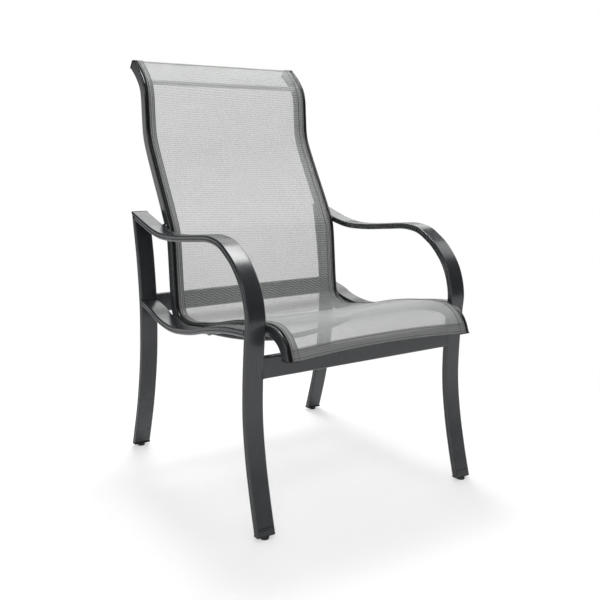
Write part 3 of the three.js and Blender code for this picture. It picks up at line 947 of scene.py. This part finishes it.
def hemBulge(inset):
    first, second = hem["rows"]
    if 0 < inset < first:
        return hem["bulge"] * 0.5 * sin(pi * inset / first)
    if first < inset < second:
        return hem["bulge"] * sin(pi * (inset - first) / (second - first))
    return 0.0


def clothPoint(x, distance, lift=0.0):
    inside = max(0.0, 1 - (x / railInner) ** 2)
    drawn = cloth["frontBow"] * inside * max(0.0, 1 - (distance - clothStart) / cloth["bowReach"]) ** 2
    station = stationAt(railRoute, distance + drawn)
    onSeat = 1 - smooth(heelDistance - cloth["heelEase"], heelDistance, distance)
    free = smooth(clothStart, clothStart + cloth["frontEase"], distance)
    free *= 1 - smooth(*(topBarDistance - ease for ease in cloth["topEase"]), distance)
    sag = (cloth["seatSag"] * onSeat + cloth["backSag"] * (1 - onSeat)) * free * inside
    depth = cloth["depth"] + lift - sag + hemBulge(cloth["turnX"] - abs(x))
    return station.place + station.face * depth + Vector((x, 0, 0))


def clothNet(columns, rows):  # columns of (x, lift), rows of (distance, lift)
    def place(across, along):
        x, columnLift = pick(columns, across)
        distance, rowLift = pick(rows, along)
        return clothPoint(x, distance, columnLift + rowLift), (x - columnLift, distance - clothStart)

    bm = netted(len(columns) - 1, len(rows) - 1, place, "Cloth")
    bmesh.ops.recalc_face_normals(bm, faces=bm.faces)
    return bm


flatHalf = cloth["turnX"] - cloth["turnRound"]
edgeFlats = [flatHalf - cloth["edgeGap"] * i for i in range(cloth["edgeColumns"])]
middleFlats = [edgeFlats[-1] * (1 - i / cloth["halfColumns"]) for i in range(1, 2 * cloth["halfColumns"])]
flatColumns = [(-x, 0.0) for x in edgeFlats + middleFlats] + [(x, 0.0) for x in reversed(edgeFlats)]


def cornerTurn(side, grown):
    radius = cloth["turnRound"]
    return [
        (side * (flatHalf + (radius + grown) * sin(a)), (radius + grown) * cos(a) - radius)
        for a in (pi / 6, pi / 3, pi / 2)
    ]


def clothColumns(lift=0.0):
    ends = [(side * cloth["turnX"], -cloth["turnDrop"]) for side in (-1, 1)]
    columns = [ends[0], *reversed(cornerTurn(-1, 0)), *flatColumns, *cornerTurn(1, 0), ends[1]]
    return [(x, columnLift + lift) for x, columnLift in columns]


def evenRows(first, last, lift=0.0, gap=cloth["rowGap"]):
    count = max(1, round(abs(last - first) / gap))
    return [(first + (last - first) * i / count, lift) for i in range(count + 1)]


def tapeColumns(side):
    lift, reach = hem["tapeLift"], hem["loopRadius"]
    x, depth = railPlane + rod["x"], rod["depth"] - cloth["depth"]
    angles = [pi * k / 8 for k in range(hem["loopSteps"])]
    loop = [(side * (x - reach * cos(a)), depth - reach * sin(a)) for a in angles]
    return [(side * (flatHalf - hem["tapeInset"]), lift), *cornerTurn(side, lift), *loop]


def foldedRows(edge, inward, wide):
    under, over, out, gap = hem["under"], hem["over"], hem["foldOut"], hem["rowGap"]
    edge += inward * hem["setBack"]
    fold = [(edge - inward * out * share, lift) for share, lift in hem["foldShares"]]
    far = edge + inward * wide
    tuck = far + inward * hem["tuck"][0], hem["tuck"][1]
    return [*evenRows(far, edge, under, gap), *fold, *evenRows(edge, far, over, gap), tuck]


def clothPart(columns, rows, name, finish, slot="mesh", *replaces):
    return finishPiece(clothNet(columns, rows), name, finish, slot, *replaces, weighted=False)


clothRows = evenRows(clothStart, clothEnd)
tapeRows = evenRows(clothStart + hem["setBack"], clothEnd - hem["setBack"])
frontFold = foldedRows(clothStart, 1, hem["front"])
topFold = foldedRows(clothEnd, -1, hem["top"])
sling = clothPart(clothColumns(), clothRows, "sling_cloth", "mesh", "mesh", "sling")
slingParts = [
    clothPart(clothColumns(-cloth["shellGap"]), clothRows, "sling_cloth_core", "mesh"),
    clothPart(clothColumns(-2 * cloth["shellGap"]), clothRows, "sling_cloth_reverse", "mesh"),
    clothPart(flatColumns, frontFold, "sling_front_hem", "hem"),
    clothPart(flatColumns, topFold, "sling_top_hem", "mesh"),
]
for side, hand in hands.items():
    inner = [(side * (cloth["turnX"] - inset), hem["under"]) for inset in hem["insets"]]
    slingParts += [
        clothPart(tapeColumns(side), tapeRows, "sling_hem_tape_" + hand, "tape", "hem_rod"),
        finishPiece(slotRod(side, hemBead), "sling_hem_bead_" + hand, "bead", "hem_rod"),
        clothPart(inner, tapeRows, "sling_side_hem_" + hand, "hem"),
    ]
print("sling stretched")

# Stitching, rows of thread that dip through the hems
stitch = {
    "radius": 0.5, "topRadius": 0.25, "sides": 5, "pitch": 4.2, "rise": 0.35, "step": 0.85,
    "lift": 0.3,
    "sideEnd": 2,  # how far a row stops short of the cloth's edge
    "acrossEnd": 1,
    "frontRows": (5, 21),  # in from the front edge
    "topRow": 7, "sunk": 0.1,
}


def threadRow(length, pointAt, radius):
    def place(around, along):
        angle = 2 * pi * around
        wave = stitch["lift"] + stitch["rise"] * cos(2 * pi * along * length / stitch["pitch"])
        middle, side, up = pointAt(along, wave)
        return middle + (side * cos(angle) + up * sin(angle)) * radius, (0, 0)

    return netted(stitch["sides"], round(length / stitch["step"]), place)


def sideThread(side, inset):
    first, last = clothStart + stitch["sideEnd"], clothEnd - stitch["sideEnd"]

    def pointAt(share, wave):
        distance = first + (last - first) * share
        middle = clothPoint(side * (cloth["turnX"] - inset), distance, wave)
        return middle, Vector((1, 0, 0)), stationAt(railRoute, distance).face

    return threadRow(last - first, pointAt, stitch["radius"])


def acrossThread(distance, radius):
    reach = flatHalf - stitch["acrossEnd"]
    lift = hem["over"] - stitch["sunk"]
    station = stationAt(railRoute, distance)

    def pointAt(share, wave):
        return clothPoint(reach * (2 * share - 1), distance, wave + lift), station.along, station.face

    return threadRow(2 * reach, pointAt, radius)


def slingStitching():
    bm = bmesh.new()
    for side in hands:
        for inset in hem["rows"]:
            joinInto(bm, sideThread(side, inset))
    for inset in stitch["frontRows"]:
        joinInto(bm, acrossThread(clothStart + inset, stitch["radius"]))
    joinInto(bm, acrossThread(clothEnd - stitch["topRow"], stitch["topRadius"]))
    return closeUp(bm)


slingParts.append(finishPiece(slingStitching(), "sling_stitching", "thread", "mesh", sharpAngle=80))
print("hems sewn")

# Spreader bars
spreader = {"radius": 7.0, "sides": 32, "bow": 40.0, "steps": 32}


def spreaderBar(middleY, middleZ, bow, name, node, finish):
    reach = railInner - chair["fitGap"]
    shares = [2 * i / spreader["steps"] - 1 for i in range(spreader["steps"] + 1)]
    points = [Vector((reach * t, middleY, middleZ + bow * t * t)) for t in shares]
    bm = bmesh.new()
    verts = bmesh.ops.create_circle(bm, segments=spreader["sides"], radius=spreader["radius"] * mm)["verts"]
    edges, here = bm.edges[:], Matrix()
    for i, place in enumerate(points):
        ahead = points[min(i + 1, len(points) - 1)] - points[max(i - 1, 0)]
        there = facing(place * mm, ahead.normalized())
        if i:
            verts, edges = grow(bm, edges)
        bmesh.ops.transform(bm, matrix=there @ here.inverted(), verts=list(verts))
        if i in (0, len(points) - 1):
            bmesh.ops.contextual_create(bm, geom=edges)
        here = there
    finishPiece(closeUp(bm), name, finish, "frame", node)


seatBarLow, _, seatBarMiddle = nodeBox("seat_spreader_bar")
seatBarBottom = seatBarLow.z + spreader["radius"]
spreaderBar(topBarMiddle.y, topBarMiddle.z, 0.0, "back_spreader", "top_spreader_bar", "bar")
spreaderBar(seatBarMiddle.y, seatBarBottom, spreader["bow"], "seat_spreader", "seat_spreader_bar", "coatPlain")
print("spreaders fitted")

# Plastic ends: a plate over each tube's end with a stem inside it
endPlate = {
    "thick": 2.0, "capStem": 1.5, "plugStem": 16.0, "wall": 3.2, "edge": 0.6, "capRound": 3.6,
    "capOver": 3,  # how much wider a cap is than its rail
    "cornerSegments": 6, "edgeSegments": 3,
}


def plateBody(wide, deep, rounding, stem):
    bm = bmesh.new()
    bmesh.ops.create_grid(bm, x_segments=1, y_segments=1, size=0.5)
    bmesh.ops.scale(bm, vec=(wide, deep, 1), verts=bm.verts)
    rounded(bm, bm.verts[:], rounding, "VERTICES", endPlate["cornerSegments"])
    face = bm.faces[:][0]
    rim = list(face.edges)
    for height, inset in ((endPlate["thick"], endPlate["wall"]), (stem, 0)):
        made = bmesh.ops.extrude_face_region(bm, geom=[face])["geom"]
        bmesh.ops.translate(bm, vec=(0, 0, height), verts=only(BMVert, made))
        face = only(BMFace, made)[0]
        if inset:
            bmesh.ops.inset_region(bm, faces=[face], thickness=inset, use_even_offset=True)
    rounded(bm, rim, endPlate["edge"], "EDGES", endPlate["edgeSegments"])
    bmesh.ops.scale(bm, vec=(mm,) * 3, verts=bm.verts)
    return closeUp(bm)


def seatBody(bm, matrix, name, finish, slot, node, sharpAngle=40.0):
    bmesh.ops.transform(bm, matrix=matrix, verts=bm.verts)
    finishPiece(closeUp(bm), name, finish, slot, node, sharpAngle=sharpAngle)


def onUnderside(node):  # a node's width, its depth and the place of its underside's middle
    low, high, middle = nodeBox(node)
    return high.x - low.x, high.y - low.y, Matrix.Translation(Vector((middle.x, middle.y, low.z)) * mm)


capWide, capDeep = chair["railWide"] + endPlate["capOver"], chair["railDeep"] + endPlate["capOver"]
for side, hand in hands.items():
    for leg in ("front_", "rear_"):
        node = "foot_plug_" + leg + hand
        wide, deep, place = onUnderside(node)
        body = plateBody(wide, deep, tube["edge"], endPlate["plugStem"])
        seatBody(body, place, "foot_insert_" + leg + hand, "cap", "black_plastic", node)
    node = "rail_end_cap_front_" + hand
    _, deep, place = onUnderside(node)
    body = plateBody(capWide, deep, endPlate["capRound"], endPlate["capStem"])
    seatBody(body, place, "nose_cap_" + hand, "cap", "black_plastic", node)
    node = "rail_end_cap_top_" + hand
    body = plateBody(capWide, capDeep, endPlate["capRound"], endPlate["capStem"])
    outer = crownEnd + crownOut * (chair["fitGap"] + endPlate["thick"]) + Vector((side * railPlane, 0, 0))
    place = standing(outer * mm, (-1, 0, 0), planeSpan(crownOut), -crownOut)
    seatBody(body, place, "crown_cap_" + hand, "cap", "black_plastic", node)
print("ends capped")

# Turned pieces: glides, spacers and bolts, each outline as (radius, height)
turned = {"sides": 32, "merge": 2e-5, "boltHead": 3.5, "sharpAngle": 50}
glideOutline = [
    (0, 0), (8.2, 0), (9.4, 0.5), (10, 1.6), (10, 6.4), (9.6, 7.1), (8.9, 7.4), (4, 7.4), (4, 16.4), (0, 16.4),
]
spacerOutline = [(3.3, 0.4), (3.7, 0), (10.2, 0), (11, 0.8), (11, 7.1), (10.2, 7.9), (3.7, 7.9), (3.3, 7.5)]
boltOutline = [
    (0, -1.2), (2.2, -1.2), (2.3, -3.2), (2.7, -3.5), (3.9, -3.1), (5.0, -2.2),
    (5.7, -1.1), (6, 0), (3, 0), (3, 46.3), (2.4, 46.8), (0, 46.8),
]


def turnedBody(outline, closed):
    bm = bmesh.new()
    verts = [bm.verts.new((radius, 0, height)) for radius, height in outline]
    ahead = verts[1:] + verts[:1] if closed else verts[1:]
    edges = [bm.edges.new(pair) for pair in zip(verts, ahead)]
    axis = {"cent": (0, 0, 0), "axis": (0, 0, 1)}
    bmesh.ops.spin(bm, geom=verts + edges, angle=2 * pi, steps=turned["sides"], use_merge=True, **axis)
    bmesh.ops.scale(bm, vec=(mm,) * 3, verts=bm.verts)
    bmesh.ops.remove_doubles(bm, verts=bm.verts, dist=turned["merge"])
    return bm


def outward(node, side, reach=0.0):  # a turned piece's axis along X, out from the node's inner end
    low, high, middle = nodeBox(node)
    place = Vector((side * (min(abs(low.x), abs(high.x)) + reach), middle.y, middle.z)) * mm
    return facing(place, Vector((side, 0, 0)))


def seatTurned(outline, matrix, name, finish, slot, node, closed=False):
    seatBody(turnedBody(outline, closed), matrix, name, finish, slot, node, turned["sharpAngle"])


for side, hand in hands.items():
    for leg in ("front_", "rear_"):
        node = "glide_" + leg + hand
        seatTurned(glideOutline, onUnderside(node)[2], "floor_" + node, "glide", "glide", node)
    for spot in ("arm_", "seat_front_", "seat_rear_"):
        node = "rail_spacer_" + spot + hand
        name = "boss_" + spot + hand
        seatTurned(spacerOutline, outward(node, side), name, "coatPlain", "black_plastic", node, closed=True)
        node = "rail_bolt_" + spot + hand
        place = outward(node, side, turned["boltHead"])
        seatTurned(boltOutline, place, "screw_" + spot + hand, "bolt", "bolt", node)
print("feet and fixings turned")

# Studio
studio = {
    "floorRadius": 3.2, "floorSides": 96, "domeSides": (48, 24), "floorFade": (1.6, 3.1), "floorShade": 0.9,
    "floorGlow": 0.42,  # the share of plain white that the camera sees on the floor
    "glowRise": (0.7, 1.3),  # metres over which the rest of the floor turns plain white
    "fill": 0.9, "domeRadius": 4.4, "domeRim": 1.25,
    "domeGlow": (0.8, 0.12),  # light for the object, and what the metal mirrors
    "flagGlow": (0.7, 0.045), "flagPlace": (1.5, -2.7, 0.75), "flagTarget": (0, 0, 0.4),
    "flagSize": (3.4, 1.3),
}
lamps = {  # place, target, width, height, watts, and the kind of light it leaves out
    "keyBox": ((0.4, 0.85, 2.75), (0, 0, 0.5), 0.9, 0.7, 39, "glossy"),
    "keySheen": ((0.7, 0.1, 2.6), (0, 0, 0.5), 1.0, 0.6, 27, "diffuse"),
    "farSheen": ((2.1, -0.5, 2.3), (0.29, -0.25, 0.6), 0.9, 1.2, 9, "diffuse"),
    "rimBox": ((1.4, 1.7, 2.45), (0, 0.2, 0.5), 2.5, 1.9, 20, "glossy"),
    "rimSheen": ((1.4, 1.95, 2.4), (0, 0.2, 0.5), 2.5, 2.4, 42, "diffuse"),
    "edgeSheen": ((2.6, 0.4, 1.6), (0, 0, 0.5), 1.0, 1.2, 17, "diffuse"),
    "fillBox": ((-1.7, -2.2, 2.6), (0, 0, 0.6), 1.5, 1.2, 20, None),
}


def stageBody(bm, name, material, seen=True):
    holder = linked(name, meshOf(bm, name))
    holder.data.materials.append(material)
    holder.visible_camera = seen


def studioFloor():
    bm = bmesh.new()
    bmesh.ops.create_circle(bm, cap_ends=True, segments=studio["floorSides"], radius=studio["floorRadius"])
    finish = Finish("paleFloor", Roughness=0.9, Base_Color=grey(studio["floorShade"]), Specular_IOR_Level=0.0)
    x, y = finish.parts(finish.objectPlace())
    radius = (x * x + y * y) ** 0.5
    finish.paint(Alpha=1.0 - radius.rise(*studio["floorFade"]))
    white = finish.node("Emission", None, {"Color": grey(1.0), "Strength": 1.0})
    glowing = radius.rise(*studio["glowRise"]) * (1 - studio["floorGlow"]) + studio["floorGlow"]
    share = finish.node("LightPath", output="Is Camera Ray") * glowing
    lit = Signal(finish, finish.surface.outputs[0])
    finish.close("Material Output", finish.node("MixShader", None, {0: share, 1: lit, 2: white}))
    stageBody(bm, "studioFloor", finish.material)


def plainGlow(name, light, mirrored):
    finish = Finish(name, Roughness=1.0, Base_Color=grey(0.0), Specular_IOR_Level=0.0, Emission_Strength=1.0)
    glossy = finish.node("LightPath", output="Is Glossy Ray")
    finish.paint(Emission_Color=finish.blend(glossy, grey(light), grey(mirrored)))
    return finish.material


def studioDome():
    bm = bmesh.new()
    sides, rings = studio["domeSides"]
    bmesh.ops.create_uvsphere(bm, u_segments=sides, v_segments=rings, radius=studio["domeRadius"])
    everything = bm.verts[:] + bm.edges[:] + bm.faces[:]
    rim = (0, 0, studio["domeRim"])
    bmesh.ops.bisect_plane(bm, geom=everything, plane_co=rim, plane_no=(0, 0, 1), clear_inner=True)
    stageBody(bm, "darkCeiling", plainGlow("darkCeiling", *studio["domeGlow"]), seen=False)


def aimed(place, target, axis):
    return (Vector(target) - Vector(place)).to_track_quat(axis, "Y")


def studioFlag():
    bm = bmesh.new()
    bmesh.ops.create_grid(bm, x_segments=1, y_segments=1, size=0.5)
    bmesh.ops.scale(bm, vec=(*studio["flagSize"], 1), verts=bm.verts)
    place = studio["flagPlace"]
    turn = aimed(place, studio["flagTarget"], "Z").to_matrix().to_4x4()
    bmesh.ops.transform(bm, matrix=Matrix.Translation(place) @ turn, verts=bm.verts)
    stageBody(bm, "darkFlag", plainGlow("darkFlag", *studio["flagGlow"]), seen=False)


def studioWorld():
    world = bpy.data.worlds.new("studioWorld")
    bpy.context.scene.world = world
    world.use_nodes = True
    sky = NodeTree(world.node_tree)
    seen = sky.node("LightPath", output="Is Camera Ray")
    for ray in ("Is Glossy Ray", "Is Transmission Ray"):
        seen = seen.most(sky.node("LightPath", output=ray))
    light = sky.node("Background", None, {"Color": grey(1.0), "Strength": studio["fill"]})
    white = sky.node("Background", None, {"Color": grey(1.0), "Strength": 1.0})
    sky.close("World Output", sky.node("MixShader", None, {0: seen, 1: light, 2: white}))


def softbox(name, place, target, width, height, watts, without):
    lamp = bpy.data.lights.new(name, "AREA")
    lamp.shape = "RECTANGLE"
    lamp.size, lamp.size_y, lamp.energy = width, height, watts
    holder = linked(name, lamp)
    holder.location = place
    holder.rotation_mode = "QUATERNION"
    holder.rotation_quaternion = aimed(place, target, "-Z")
    holder.visible_camera = False
    holder.visible_diffuse = without != "diffuse"
    holder.visible_glossy = without != "glossy"


studioFloor()
studioDome()
studioFlag()
studioWorld()
for name, spec in lamps.items():
    softbox(name, *spec)
bpy.context.scene.view_settings.view_transform = "Standard"
print("studio lit")
